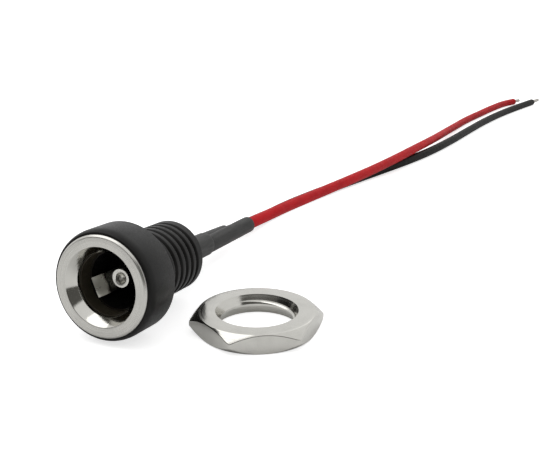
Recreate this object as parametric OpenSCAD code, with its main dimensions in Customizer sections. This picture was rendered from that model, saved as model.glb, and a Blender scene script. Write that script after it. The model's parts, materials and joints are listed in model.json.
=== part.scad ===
// Panel-mount DC power jack with a soldered two-wire lead and its loose mounting nut.
// The jack lies on its side on the floor plane Z = 0: its plug opening faces -Y, its wires run
// towards +Y, and the nut lies flat beside it. Lengths are in millimetres.

/* [Head] */
// Diameter of the moulded head
head_d = 11.2; // [10.4:0.1:13]
// From the front face of the metal ring back to the face that meets the panel
head_len = 4.6; // [4.2:0.1:6.5]
// How far the head's rounded front shoulder reaches back
shoulder_len = 1; // [0.5:0.1:1.6]
// Small break on the head's rear edge
head_edge = 0.12; // [0.05:0.01:0.3]

/* [Metal ring] */
// How far the head stands out round the plated ring
ring_rim = 0.47; // [0.3:0.01:0.6]
// Chamfer on the ring's outer edge
ring_chamfer = 0.2; // [0.05:0.01:0.3]
// How far the ring stands out of the moulding
ring_proud = 0.28; // [0.22:0.01:0.4]
// Length of the ring, front to back
ring_len = 1.4; // [1.25:0.05:1.6]
// Width of the funnel, from the straight hole out to its mouth
funnel_w = 0.75; // [0.5:0.05:0.8]
// Depth of the funnel
funnel_depth = 1; // [0.7:0.05:1.1]
// How far the ring's straight hole stands back from the moulding's hole behind it
throat_step = 0.1; // [0.05:0.01:0.2]

/* [Plug socket] */
// How far the guiding hole behind the metal ring is wider than the bore, all round
mouth_step = 0.2; // [0.1:0.01:0.3]
// Length of that guiding hole
mouth_len = 1.5; // [1:0.1:1.6]
// Bore that takes the plug's barrel
bore_d = 5.9; // [5.7:0.05:6]
// From the ring's front face to the floor of the bore
socket_depth = 10.2; // [9.6:0.1:10.8]

/* [Threaded barrel] */
// Wall between the step inside the barrel's end and the root of the thread
barrel_wall = 0.34; // [0.2:0.02:0.6]
// Distance between two turns
thread_pitch = 1.1; // [0.9:0.05:1.2]
// Depth of the thread grooves
thread_depth = 0.4; // [0.2:0.05:0.45]
// Number of turns that show as grooves
thread_turns = 7; // [4:1:7]
// Width of a groove at the crest
groove_w = 0.62; // [0.4:0.02:0.8]
// Plain collar behind the last groove
collar_len = 0.95; // [0.7:0.05:1.4]
// Length of the barrel behind the head
barrel_len = 9; // [8.9:0.1:12]
// Small break on the barrel's rear edge
barrel_edge = 0.15; // [0.05:0.01:0.25]

/* [Contacts] */
// Diameter of the centre pin
pin_d = 2; // [1.6:0.1:2.5]
// How far the pin's tip lies behind the ring's front face
pin_setback = 3.5; // [3.2:0.1:4.5]
// Rounding of the pin's tip
pin_round = 0.2; // [0.1:0.02:0.4]
// Mouth of the dished hole in the pin's tip
dish_d = 1.1; // [0.6:0.1:1.2]
// Depth of that dished hole
dish_depth = 0.5; // [0.2:0.05:0.8]
// How far the pin's seating flange stands out from it
flange_w = 0.45; // [0.2:0.05:0.6]
// Thickness of that flange
flange_t = 0.5; // [0.3:0.05:0.8]
// Shank of the pin inside the contact carrier
shank_d = 1.6; // [1.3:0.05:1.7]
// Rivet neck of the pin that holds the centre lug
rivet_d = 1.1; // [0.9:0.05:1.2]
// Diameter of the closed rivet head
rivet_head_d = 1.8; // [1.5:0.1:2]
// Height of the closed rivet head
rivet_head_h = 0.3; // [0.2:0.05:0.5]
// Thickness of the contact carrier
carrier_len = 2.8; // [2.2:0.1:3]
// Depth of the step that the carrier is pushed into, beyond the bore's radius
carrier_step = 0.15; // [0.1:0.01:0.2]
// Width of the spring contact's blade
leaf_w = 2.1; // [1.6:0.1:2.2]
// Thickness of the spring contact
leaf_t = 0.2; // [0.15:0.01:0.22]
// Where the spring contact sits round the bore, seen from the front
leaf_angle = 205; // [195:1:215]
// How close the crest of the spring comes to the axis
leaf_crest_r = 2; // [1.7:0.05:2.4]
// How far the crest lies behind the ring's front face
leaf_crest_depth = 3.95; // [3.9:0.05:5]
// How far the flared tip lies ahead of the crest
leaf_tip_len = 1; // [0.7:0.05:1]
// Width of the spring contact's solder tab
tab_w = 1.2; // [0.8:0.1:1.2]
// Length of the solder tab behind the carrier
tab_len = 5.8; // [4.5:0.1:6]
// Thickness of the centre lug
lug_t = 0.3; // [0.2:0.05:0.35]
// Top of the centre lug's tab, below the axis
lug_drop = 0.55; // [0.45:0.05:0.7]
// Width of the centre lug's tab
lug_w = 1.8; // [1.2:0.1:1.9]
// Diameter of the centre lug's eyelet
eyelet_d = 2.7; // [2.4:0.1:2.8]
// Length of the centre lug behind the carrier
lug_len = 6.2; // [5.4:0.1:6.4]
// Diameter of a solder bead
solder_d = 1.1; // [0.8:0.05:1.1]
// Length of a solder bead
solder_len = 2.4; // [1.8:0.1:2.6]

/* [Wires] */
// Diameter over the insulation
wire_d = 1.5; // [1.2:0.1:1.5]
// Diameter of the tinned strands at a bare end
strand_d = 0.8; // [0.5:0.05:1]
// Bare length at the end of the red wire
red_bare_len = 2.6; // [1:0.1:6]
// Bare length at the end of the black wire
black_bare_len = 4.2; // [1:0.1:6]
// Shrink sleeve over a wire
sleeve_d = 2; // [1.9:0.05:2.1]
// Red wire's sleeve where it covers the centre lug
boot_d = 2.75; // [2.65:0.05:2.9]
// Wall of both sleeves where they are wide
boot_wall = 0.2; // [0.12:0.02:0.2]
// Rounding of its rear shoulder
boot_round = 0.25; // [0.1:0.05:0.3]
// Length of that wide part
boot_len = 5.4; // [4.6:0.1:5.6]
// From the carrier to the start of the sleeve over the centre lug
boot_gap = 2; // [1.8:0.1:2.4]
// Black wire's sleeve where it covers the solder tab
tab_boot_d = 2.2; // [2.1:0.05:2.25]
// Whole length of the black wire's sleeve
black_sleeve_len = 15.8; // [14:0.1:16.2]
// Length of its wider part over the solder tab
tab_boot_len = 6.4; // [4.5:0.1:7]

/* [Nut] */
// Across flats
nut_af = 12; // [11:0.5:14]
// Thickness
nut_t = 2.05; // [1.8:0.05:2.5]
// Width of the countersink on both faces, from the hole out to its mouth
nut_sink_w = 0.6; // [0.4:0.05:0.9]
// Slope of the corner and countersink chamfers
nut_chamfer = 40; // [20:1:42]

/* [Lie of the set] */
// How far the jack's rear end dips, as it lies on its head with the wires behind
rest_tilt = 4.8; // [3:0.1:6]
// Nut centre, to the right of the jack's axis
nut_right = 12.1; // [12.1:0.1:16]
// Nut centre, behind the jack's front face
nut_behind = 9.4; // [7:0.1:11]
// Turn of the nut about its own axis
nut_turn = 1.5; // [0:0.5:20]

/* [Fits] */
// Radial clearance between parts that are pressed together
press_fit = 0.01; // [0.005:0.005:0.02]
// Radial clearance between the nut's thread and the barrel's
nut_fit = 0.15; // [0.02:0.01:0.2]
// Clearance round the spring contact in its slots
slot_fit = 0.06; // [0.02:0.01:0.08]

/* [Hidden] */
$fn = 96;

// Depths along the jack's axis, from the ring's front face
head_r = head_d / 2;
ring_r = head_r - ring_rim;
bore_r = bore_d / 2;
mouth_r = bore_r + mouth_step;
throat_r = mouth_r + throat_step;
funnel_r = throat_r + funnel_w;
mouth_end = ring_len + mouth_len;
barrel_end = head_len + barrel_len;
carrier_r = bore_r + carrier_step;
root_r = carrier_r + press_fit + barrel_wall;
crest_r = root_r + thread_depth;
carrier_end = socket_depth + carrier_len;
thread_end = barrel_end - collar_len;
groove_floor = groove_w * 0.3;
lip_w = 0.07;
past = 1;

// The spring contact: its plane at the rear, its slot and its tab
leaf_plane = bore_r - leaf_t / 4;
leaf_tip_depth = leaf_crest_depth - leaf_tip_len;
leaf_slot_r = leaf_plane + leaf_t / 2 + slot_fit;
tab_end = carrier_end + tab_len;

// The centre lug: the plane of its tab and the middle of the sleeve round it
lug_top = -lug_drop;
lug_knee = -eyelet_d / 2 + 0.12;
lug_end = carrier_end + lug_len;
boot_offset = [0.4, -0.25];
boot_start = carrier_end + boot_gap;
boot_end = boot_start + boot_len;

// Where the jack lies: on the rear edge of its head, dipping towards the wires
rest_height = (head_len - head_edge) * sin(rest_tilt) + head_r * cos(rest_tilt);

// The nut's corners and their chamfers
nut_corner_r = nut_af / 2 / cos(30);
nut_corner_drop = (nut_corner_r - nut_af / 2) * tan(nut_chamfer);
nut_bore_r = root_r + nut_fit;
nut_sink_r = nut_bore_r + nut_sink_w;
nut_sink_depth = nut_sink_w * tan(nut_chamfer);

// The origin is under the middle of the jack and the nut, without the sleeves and wires
x_low = -head_r;
x_high = max([for (k = [0:5]) nut_right + nut_corner_r * cos(nut_turn + 30 + 60 * k)]);
y_low = -(ring_r - ring_chamfer) * sin(rest_tilt);
y_high = lug_end * cos(rest_tilt) + lug_top * sin(rest_tilt);
middle = [(x_low + x_high) / 2, (y_low + y_high) / 2, 0];

// Routes of the wires, from the floor point under the middle of the jack's front face.
// The red wire comes down over the black one, then both lie on the floor.
red_route = [
    [0.4, 20, 3.7], [0.9, 25, 3.7], [1.4, 30, 3.7], [1.9, 35, 3.55], [2.4, 41, 3.3],
    [3.1, 47, 3.05], [4, 54, 2.8], [5, 61.5, 2.6], [6, 69, 2.45], [7, 77.5, 2.35],
    [7.9, 86, 2.3], [8.5, 94, 2.1], [8.7, 102, 1.7], [8.6, 110, 1.2], [8.8, 118.5, 0.85],
    [9.4, 127, 0.75], [10.6, 135.5, 0.75], [12.2, 146, 0.75], [13.6, 152.5, 0.75], [15.2, 156.5, 0.75]];
black_route = [
    [-2.25, 20, 3.1], [-2.07, 25, 2.625], [-1.9, 30, 2.15], [-1.85, 33.5, 1.8], [-1.85, 37, 1.4],
    [-1.9, 40.5, 1.05], [-1.75, 44, 0.8], [-1.25, 48.5, 0.75], [-0.3, 53.5, 0.75], [1.2, 60, 0.75],
    [3, 67, 0.75], [5.2, 75, 0.75], [7.6, 84, 0.75], [9.5, 93, 0.75], [10.9, 103, 0.75],
    [12.1, 115, 0.75], [13.4, 127, 0.75], [15.2, 138.5, 0.75], [17.1, 147.5, 0.75], [19.5, 157.5, 0.75]];
red_mouth = 2;
black_mouth = 2;
steps_per_leg = 2;
wire_sides = 8;

// Points on a smooth curve through a route
function leg_point(a, b, c, d, t) =
    0.5 * (2 * b + (c - a) * t + (2 * a - 5 * b + 4 * c - d) * t * t + (3 * b - a - 3 * c + d) * t * t * t);
function route_at(p, i) =
    i < 0 ? 2 * p[0] - p[1] : i >= len(p) ? 2 * p[len(p) - 1] - p[len(p) - 2] : p[i];
function smooth(p) = concat(
    [for (i = [0:len(p) - 2]) for (s = [0:steps_per_leg - 1])
        leg_point(route_at(p, i - 1), p[i], p[i + 1], route_at(p, i + 2), s / steps_per_leg)],
    [p[len(p) - 1]]);
function unit(v) = v / norm(v);
function tangent(p, i) =
    i == 0 ? unit(p[1] - p[0]) : i == len(p) - 1 ? unit(p[i] - p[i - 1]) : unit(p[i + 1] - p[i - 1]);

// Outline of a bent strip, from the points along its middle
function turn_left(v) = [-v[1], v[0]];
function strip_normal(p, i) =
    i == 0 ? unit(turn_left(p[1] - p[0]))
    : i == len(p) - 1 ? unit(turn_left(p[i] - p[i - 1]))
    : let (a = unit(turn_left(p[i] - p[i - 1])), b = unit(turn_left(p[i + 1] - p[i])), m = unit(a + b))
        m / (m * a);
function strip_outline(p, t) = concat(
    [for (i = [0:len(p) - 1]) p[i] + strip_normal(p, i) * t / 2],
    [for (i = [len(p) - 1:-1:0]) p[i] - strip_normal(p, i) * t / 2]);
function arc(c, r, a0, a1, n) = [for (i = [0:n]) c + r * [cos(a0 + (a1 - a0) * i / n), sin(a0 + (a1 - a0) * i / n)]];

// Puts a child, built with the plug axis along +Y and the ring's face at Y = 0, where the jack lies
module as_it_lies() translate([0, 0, rest_height]) rotate([-rest_tilt, 0, 0]) children();
// Turns a child that stands on +Z so that it runs along +Y
module along_axis() rotate([-90, 0, 0]) children();
// Turns a child built to the right of the axis to its angle round the axis
module round_axis(angle) rotate([0, -angle, 0]) children();
// Turns a child that stands on +Z so that it runs from a towards b
module from_to(a, b) {
    v = b - a;
    translate(a) rotate([0, acos(v[2] / norm(v)), atan2(v[1], v[0])]) children();
}
// Shifts the whole set so that the origin is under its middle
module on_floor() translate(-middle) children();

module bore(r, from, to) along_axis() translate([0, 0, from]) cylinder(r = r, h = to - from);

module thread_grooves() {
    for (k = [0:thread_turns - 1])
        translate([0, 0, thread_end - groove_w / 2 - k * thread_pitch])
            rotate_extrude()
                polygon([[root_r, -groove_floor / 2], [crest_r + 0.1, -groove_w / 2 - 0.05],
                         [crest_r + 0.1, groove_w / 2 + 0.05], [root_r, groove_floor / 2]]);
}

module housing_outside() {
    pocket_r = ring_r + press_fit;
    front_r = pocket_r + lip_w;
    round_r = head_r - front_r;
    shoulder = [for (a = [0:15:90]) [front_r + round_r * sin(a), ring_proud + shoulder_len * (1 - cos(a))]];
    rotate_extrude()
        polygon(concat([[0, ring_proud]], shoulder,
            [[head_r, head_len - head_edge], [head_r - head_edge, head_len], [crest_r, head_len],
             [crest_r, barrel_end - barrel_edge], [crest_r - barrel_edge, barrel_end], [0, barrel_end]]));
}

module housing() {
    color([0.07, 0.07, 0.075]) on_floor() as_it_lies() difference() {
        along_axis() difference() {
            housing_outside();
            thread_grooves();
        }
        bore(ring_r + press_fit, -past, ring_len);
        bore(mouth_r, ring_len - past, mouth_end);
        bore(bore_r, mouth_end - past, socket_depth + past);
        bore(carrier_r + press_fit, socket_depth, barrel_end + past);
        round_axis(leaf_angle)
            translate([0, mouth_end, -leaf_w / 2 - slot_fit])
                cube([leaf_slot_r, socket_depth - mouth_end, leaf_w + 2 * slot_fit]);
    }
}

module metal_ring() {
    face_r = ring_r - ring_chamfer;
    color([0.78, 0.76, 0.72]) on_floor() as_it_lies() along_axis()
        rotate_extrude()
            polygon([[funnel_r, 0], [face_r, 0], [ring_r, ring_chamfer], [ring_r, ring_len],
                     [throat_r, ring_len], [throat_r, funnel_depth]]);
}

// Disc that closes the bore and carries the pin and the spring contact
module contact_carrier() {
    color([0.1, 0.1, 0.1]) on_floor() as_it_lies() difference() {
        bore(carrier_r, socket_depth, carrier_end);
        bore(shank_d / 2 + press_fit, socket_depth - past, carrier_end + past);
        round_axis(leaf_angle)
            translate([leaf_plane - leaf_t / 2 - slot_fit, socket_depth - past, -tab_w / 2 - slot_fit])
                cube([carrier_r, carrier_len + 2 * past, tab_w + 2 * slot_fit]);
    }
}

// Turned pin: dished tip, seating flange, shank, rivet neck and closed rivet head
module centre_pin() {
    pin_r = pin_d / 2;
    flange_r = pin_r + flange_w;
    rivet_end = carrier_end + lug_t + rivet_head_h;
    color([0.82, 0.81, 0.78]) on_floor() as_it_lies() along_axis()
        rotate_extrude()
            polygon(concat(
                [[0, pin_setback + dish_depth], [dish_d / 2 - 0.08, pin_setback + dish_depth * 0.55],
                 [dish_d / 2, pin_setback]],
                arc([pin_r - pin_round, pin_setback + pin_round], pin_round, -90, 0, 5),
                [[pin_r, socket_depth - flange_t], [flange_r, socket_depth - flange_t], [flange_r, socket_depth],
                 [shank_d / 2, socket_depth], [shank_d / 2, carrier_end], [rivet_d / 2, carrier_end],
                 [rivet_d / 2, carrier_end + lug_t], [rivet_head_d / 2, carrier_end + lug_t],
                 [rivet_head_d / 2 - 0.1, rivet_end], [0, rivet_end]]));
}

// Stamped lug: an eyelet under the rivet head, cranked into a tab for the red wire
module centre_lug() {
    tab_mid = lug_top - lug_t / 2;
    eyelet_mid = carrier_end + lug_t / 2;
    side = [[eyelet_mid, -rivet_d / 2 - 0.2], [eyelet_mid, lug_knee], [carrier_end + 0.9, lug_knee],
            [boot_start - 0.1, tab_mid], [lug_end, tab_mid]];
    color([0.8, 0.79, 0.74]) on_floor() as_it_lies() difference() {
        union() {
            bore(eyelet_d / 2, carrier_end, carrier_end + lug_t);
            translate([boot_offset[0], 0, 0]) rotate([90, 0, 90])
                linear_extrude(height = lug_w, center = true) polygon(strip_outline(side, lug_t));
        }
        bore(rivet_d / 2 + press_fit, carrier_end - past, carrier_end + lug_t + press_fit);
        bore(rivet_head_d / 2 + slot_fit, carrier_end + lug_t, carrier_end + lug_t + 2 * rivet_head_h);
    }
}

// Stamped spring: flared tip, crest that presses on the plug, blade, and a solder tab behind
module spring_contact() {
    bend = [leaf_crest_r, leaf_crest_depth];
    side = [[leaf_plane, leaf_tip_depth], [leaf_plane - 0.12, leaf_tip_depth + 0.08],
            bend + [0.12, -0.16], bend + [leaf_t / 2, 0.02], bend + [0.13, 0.2],
            [leaf_plane, socket_depth - 1.6], [leaf_plane, socket_depth]];
    color([0.8, 0.79, 0.74]) on_floor() as_it_lies() round_axis(leaf_angle) {
        linear_extrude(height = leaf_w, center = true) polygon(strip_outline(side, leaf_t));
        translate([leaf_plane - leaf_t / 2, socket_depth - 0.2, -tab_w / 2])
            cube([leaf_t, tab_end - socket_depth + 0.2, tab_w]);
    }
}

// A round-ended bead along +Y, with its flat side down on the lug
module solder_bead() {
    r = solder_d / 2;
    intersection() {
        union() {
            translate([0, r, 0]) sphere(r = r, $fn = 48);
            translate([0, r, 0]) along_axis() cylinder(r = r, h = solder_len - 2 * r);
            translate([0, solder_len - r, 0]) sphere(r = r, $fn = 48);
        }
        translate([-solder_d, -past, 0]) cube([2 * solder_d, solder_len + 2 * past, solder_d]);
    }
}

module centre_solder() {
    color([0.75, 0.75, 0.76]) on_floor() as_it_lies()
        translate([boot_offset[0], lug_end - solder_len, lug_top]) solder_bead();
}

module tab_solder() {
    color([0.75, 0.75, 0.76]) on_floor() as_it_lies() round_axis(leaf_angle)
        translate([leaf_plane - leaf_t / 2, tab_end - solder_len, 0]) rotate([0, -90, 0]) solder_bead();
}

// A shrunk sleeve is wide over the lug and narrow over the wire
module red_sleeve() {
    mouth = red_route[red_mouth];
    wide_r = boot_d / 2;
    narrow_back = norm(mouth - red_route[0]);
    color([0.13, 0.13, 0.14]) on_floor() difference() {
        union() {
            as_it_lies() translate([boot_offset[0], 0, boot_offset[1]]) along_axis()
                rotate_extrude()
                    polygon(concat([[0, boot_start], [wide_r, boot_start]],
                        arc([wide_r - boot_round, boot_end - boot_round], boot_round, 0, 90, 5),
                        [[0, boot_end]]));
            from_to(mouth, red_route[0]) cylinder(r = sleeve_d / 2, h = narrow_back - 0.3);
        }
        as_it_lies() translate([boot_offset[0], 0, boot_offset[1]])
            bore(wide_r - boot_wall, boot_start - past, boot_end - boot_wall);
        from_to(mouth, red_route[0]) translate([0, 0, -past])
            cylinder(r = wire_d / 2 + press_fit, h = narrow_back + past);
    }
}

module black_sleeve() {
    mouth = black_route[black_mouth];
    wide_r = tab_boot_d / 2;
    step_at = black_sleeve_len - tab_boot_len;
    color([0.13, 0.13, 0.14]) on_floor() from_to(mouth, black_route[0])
        rotate_extrude()
            polygon([[wire_d / 2 + press_fit, 0], [sleeve_d / 2, 0], [sleeve_d / 2, step_at],
                     [wide_r, step_at + 0.3], [wide_r, black_sleeve_len],
                     [wide_r - boot_wall, black_sleeve_len], [wide_r - boot_wall, step_at + 0.4],
                     [wire_d / 2 + press_fit, step_at + 0.2]]);
}

// A tube swept through the rings of a smooth route
module wire_tube(route) {
    p = smooth(route);
    n = len(p);
    r = wire_d / 2;
    points = [for (i = [0:n - 1])
        let (t = tangent(p, i), side = unit(cross(t, [0, 0, 1])), up = cross(side, t))
        for (k = [0:wire_sides - 1])
            let (a = 360 * k / wire_sides) p[i] + r * (cos(a) * side + sin(a) * up)];
    faces = concat(
        [[for (k = [0:wire_sides - 1]) k]],
        [for (i = [0:n - 2]) for (k = [0:wire_sides - 1])
            let (a = i * wire_sides + k, b = i * wire_sides + (k + 1) % wire_sides)
            [a, a + wire_sides, b + wire_sides, b]],
        [[for (k = [wire_sides - 1:-1:0]) (n - 1) * wire_sides + k]]);
    polyhedron(points, faces);
}

module bare_end(route, length) {
    last = route[len(route) - 1];
    before = route[len(route) - 2];
    from_to(last, 2 * last - before) cylinder(r = strand_d / 2, h = length);
}

module red_wire() color([0.75, 0.03, 0.06]) on_floor() wire_tube(red_route);
module black_wire() color([0.05, 0.05, 0.05]) on_floor() wire_tube(black_route);
module red_wire_end() color([0.75, 0.74, 0.72]) on_floor() bare_end(red_route, red_bare_len);
module black_wire_end() color([0.75, 0.74, 0.72]) on_floor() bare_end(black_route, black_bare_len);

// Thin hexagon nut, chamfered on both faces
module mounting_nut() {
    flat_r = nut_af / 2;
    color([0.8, 0.78, 0.74]) on_floor() translate([nut_right, nut_behind, 0]) difference() {
        intersection() {
            rotate([0, 0, nut_turn + 30]) cylinder(r = nut_corner_r, h = nut_t, $fn = 6);
            rotate_extrude()
                polygon([[0, 0], [flat_r, 0], [nut_corner_r + 0.01, nut_corner_drop],
                         [nut_corner_r + 0.01, nut_t - nut_corner_drop], [flat_r, nut_t], [0, nut_t]]);
        }
        rotate_extrude()
            polygon([[0, -past], [nut_sink_r, -past], [nut_sink_r, 0], [nut_bore_r, nut_sink_depth],
                     [nut_bore_r, nut_t - nut_sink_depth], [nut_sink_r, nut_t],
                     [nut_sink_r, nut_t + past], [0, nut_t + past]]);
    }
}

housing();
metal_ring();
contact_carrier();
centre_pin();
centre_lug();
spring_contact();
centre_solder();
tab_solder();
red_sleeve();
black_sleeve();
red_wire();
black_wire();
red_wire_end();
black_wire_end();
mounting_nut();
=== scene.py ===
# %% [markdown]
# # A panel-mount power jack with its lead and its loose nut
#
# The solids of this small connector are already made and packed: sizes, fits and places are
# theirs. This lesson gives them their looks. Each cell first says what the piece is on the real
# object, then how it could be made in Blender and why one way was chosen. Everything is in
# metres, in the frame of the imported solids, and every finished piece keeps its object at the
# origin.

import json
import math

import bmesh
import bpy
from mathutils import Matrix, Vector, noise


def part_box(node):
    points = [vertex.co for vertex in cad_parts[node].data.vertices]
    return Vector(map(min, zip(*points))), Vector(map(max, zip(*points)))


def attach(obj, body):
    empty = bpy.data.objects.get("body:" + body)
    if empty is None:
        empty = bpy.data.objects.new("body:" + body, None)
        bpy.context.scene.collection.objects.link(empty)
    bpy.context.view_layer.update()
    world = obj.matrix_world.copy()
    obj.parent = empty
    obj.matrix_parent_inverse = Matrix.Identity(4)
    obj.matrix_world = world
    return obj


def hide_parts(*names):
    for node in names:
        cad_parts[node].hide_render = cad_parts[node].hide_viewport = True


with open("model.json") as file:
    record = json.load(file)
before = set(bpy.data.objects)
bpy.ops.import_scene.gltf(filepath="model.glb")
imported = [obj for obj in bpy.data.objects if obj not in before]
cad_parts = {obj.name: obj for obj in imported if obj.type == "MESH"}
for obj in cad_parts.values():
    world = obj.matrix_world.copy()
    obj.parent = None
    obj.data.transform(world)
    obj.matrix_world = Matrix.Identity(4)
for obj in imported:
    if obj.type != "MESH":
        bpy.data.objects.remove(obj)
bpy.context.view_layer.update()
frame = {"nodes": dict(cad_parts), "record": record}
MM = 0.001
print("solids:", ", ".join(sorted(frame["nodes"])))

# %% [markdown]
# ## The jack's own frame
#
# The jack is a turned shape that lies at a slight slope, so nearly all of it is easier to make
# about its own axis. The axis comes from the mount of the plug's opening, and the front comes
# from the ring's solid. In the jack's frame +Y runs back along the axis from the ring's face, +X
# is to the right and +Z is up, square to the axis. The matrix JACK carries a finished mesh to its
# place.

# %% The jack's frame
mounts = {mount["name"]: mount for mount in frame["record"]["mounts"]}
opening = mounts["plug_mouth"]
plug_way = Vector(opening["axis"]).normalized()
opening_at = Vector(opening["pos_m"])
ring_points = [vertex.co for vertex in frame["nodes"]["metal_ring"].data.vertices]
face_ahead = max((point - opening_at).dot(plug_way) for point in ring_points)
face_centre = opening_at + plug_way * face_ahead
back = -plug_way
right = Vector((1, 0, 0))
up = right.cross(back)
JACK = Matrix.Translation(face_centre) @ Matrix((right, back, up)).transposed().to_4x4()
print("ring's face centre, mm:", [round(value / MM, 3) for value in face_centre])


def reach(node):
    """A solid's largest radius, nearest and farthest depth in the jack's frame, in millimetres."""
    points = [(JACK.inverted() @ vertex.co) / MM for vertex in frame["nodes"][node].data.vertices]
    depths = [point.y for point in points]
    return max(math.hypot(point.x, point.z) for point in points), min(depths), max(depths)


# %% [markdown]
# ## The camera
#
# The camera comes early, because the lead has to lie inside its view. It looks down on the set
# from the front and the right. The object is only a few centimetres from the lens, so the near
# clipping distance is brought in, or the jack would be cut away.

# %% The camera
scene = bpy.context.scene
scene.view_settings.view_transform = "Standard"
CAMERA_AT = Vector((38.944, -71.53, 36.241)) * MM
CAMERA_DOWN = math.radians(17.773)
CAMERA_TURN = math.radians(23.558)
camera_data = bpy.data.cameras.new("camera")
camera_data.lens = 55.74
camera_data.sensor_width = 36
camera_data.clip_start = 2 * MM
camera_data.clip_end = 10
camera = bpy.data.objects.new("camera", camera_data)
camera.location = CAMERA_AT
camera.rotation_euler = (math.radians(90) - CAMERA_DOWN, 0, CAMERA_TURN)
scene.collection.objects.link(camera)
scene.camera = camera

# %% [markdown]
# ## Helpers for materials
#
# Every finish below is a few procedural nodes in front of one Principled shader. Patterns read
# Object coordinates. A Mapping node turns them into millimetres about a piece's own axis, so
# turning marks stay round the axis although the mesh lies on a slope.


# %% Material helpers
class Finish:
    """A material under construction: its shader and short ways to add nodes in front of it."""

    def __init__(self, name, color, metallic=0.0, roughness=0.5, **sockets):
        self.material = bpy.data.materials.new(name)
        self.material.use_nodes = True
        self.nodes = self.material.node_tree.nodes
        self.links = self.material.node_tree.links
        self.shader = self.nodes["Principled BSDF"]
        self.shader.inputs["Base Color"].default_value = (*color, 1)
        self.shader.inputs["Metallic"].default_value = metallic
        self.shader.inputs["Roughness"].default_value = roughness
        for socket, value in sockets.items():
            self.shader.inputs[socket.replace("_", " ")].default_value = value
        self.heights = []

    def add(self, kind, **settings):
        node = self.nodes.new(kind)
        for key, value in settings.items():
            setattr(node, key, value)
        return node

    def join(self, output, socket):
        self.links.new(output, socket)

    def coordinates(self, matrix=None):
        """Object coordinates in millimetres, seen from the frame that matrix places."""
        here = (matrix or Matrix.Identity(4)).inverted()
        source = self.add("ShaderNodeTexCoord")
        mapping = self.add("ShaderNodeMapping")
        mapping.inputs["Scale"].default_value = (1 / MM, 1 / MM, 1 / MM)
        mapping.inputs["Rotation"].default_value = here.to_euler()
        mapping.inputs["Location"].default_value = here.translation / MM
        self.join(source.outputs["Object"], mapping.inputs["Vector"])
        return mapping.outputs["Vector"]

    def stretched(self, vector, scale):
        """The same coordinates with one scale for each axis."""
        mapping = self.add("ShaderNodeMapping")
        mapping.inputs["Scale"].default_value = scale
        self.join(vector, mapping.inputs["Vector"])
        return mapping.outputs["Vector"]

    def from_axis(self, vector):
        """Distance from the Y axis."""
        flat = self.add("ShaderNodeVectorMath", operation="MULTIPLY")
        flat.inputs[1].default_value = (1, 0, 1)
        self.join(vector, flat.inputs[0])
        length = self.add("ShaderNodeVectorMath", operation="LENGTH")
        self.join(flat.outputs["Vector"], length.inputs[0])
        return length.outputs["Value"]

    def along_axis(self, vector):
        """Place along the Y axis."""
        parts = self.add("ShaderNodeSeparateXYZ")
        self.join(vector, parts.inputs["Vector"])
        return parts.outputs["Y"]

    def cloud(self, vector, scale, detail=3.0, roughness=0.5):
        """Soft noise through the solid."""
        texture = self.add("ShaderNodeTexNoise")
        texture.inputs["Scale"].default_value = scale
        texture.inputs["Detail"].default_value = detail
        texture.inputs["Roughness"].default_value = roughness
        self.join(vector, texture.inputs["Vector"])
        return texture.outputs["Fac"]

    def lines(self, value, scale, detail=4.0):
        """Uneven lines that change only with one value, such as the distance from an axis."""
        texture = self.add("ShaderNodeTexNoise", noise_dimensions="1D")
        texture.inputs["Scale"].default_value = scale
        texture.inputs["Detail"].default_value = detail
        self.join(value, texture.inputs["W"])
        return texture.outputs["Fac"]

    def between(self, value, low, high, low_at=0.3, high_at=0.7):
        """A number that runs from low to high as value passes from low_at to high_at."""
        spread = self.add("ShaderNodeMapRange")
        spread.inputs["From Min"].default_value = low_at
        spread.inputs["From Max"].default_value = high_at
        spread.inputs["To Min"].default_value = low
        spread.inputs["To Max"].default_value = high
        self.join(value, spread.inputs["Value"])
        return spread.outputs["Result"]

    def tint(self, value, dark, light):
        """A colour between two by a value."""
        ramp = self.add("ShaderNodeValToRGB")
        ramp.color_ramp.elements[0].color = (*dark, 1)
        ramp.color_ramp.elements[0].position = 0.3
        ramp.color_ramp.elements[1].color = (*light, 1)
        ramp.color_ramp.elements[1].position = 0.7
        self.join(value, ramp.inputs["Fac"])
        self.join(ramp.outputs["Color"], self.shader.inputs["Base Color"])

    def rough(self, value, low, high):
        self.join(self.between(value, low, high), self.shader.inputs["Roughness"])

    def bump(self, value, height):
        """Adds relief of that height in millimetres."""
        node = self.add("ShaderNodeBump")
        node.inputs["Distance"].default_value = height * MM
        self.join(value, node.inputs["Height"])
        if self.heights:
            self.join(self.heights[-1], node.inputs["Normal"])
        self.heights.append(node.outputs["Normal"])
        self.join(node.outputs["Normal"], self.shader.inputs["Normal"])


# %% [markdown]
# ## Helpers for meshes
#
# A turned piece starts as an outline of radius and depth, which the spin operator sweeps round
# the axis. Corners of an outline are eased by short curves, because a real edge always catches a
# little light. A piece ends as one mesh with smooth faces and sharp edges marked by angle.

# %% Mesh helpers
ROUND_STEPS = 96
SAME_PLACE = 0.0005 * MM
EASE_SHARE = 0.4
SAME_DEPTH = 0.001


def eased(points, cut, steps=3, closed=True):
    """An outline whose corners become short curves that start at most cut away from the corner."""
    points = [Vector(point) for point in points]
    count = len(points)
    result = []
    for index, corner in enumerate(points):
        if not closed and index in (0, count - 1):
            result.append(corner)
            continue
        before = points[index - 1] - corner
        after = points[(index + 1) % count] - corner
        start = corner + before.normalized() * min(cut, before.length * EASE_SHARE)
        end = corner + after.normalized() * min(cut, after.length * EASE_SHARE)
        for step in range(steps + 1):
            t = step / steps
            result.append(start * (1 - t) ** 2 + corner * 2 * t * (1 - t) + end * t**2)
    return result


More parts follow.
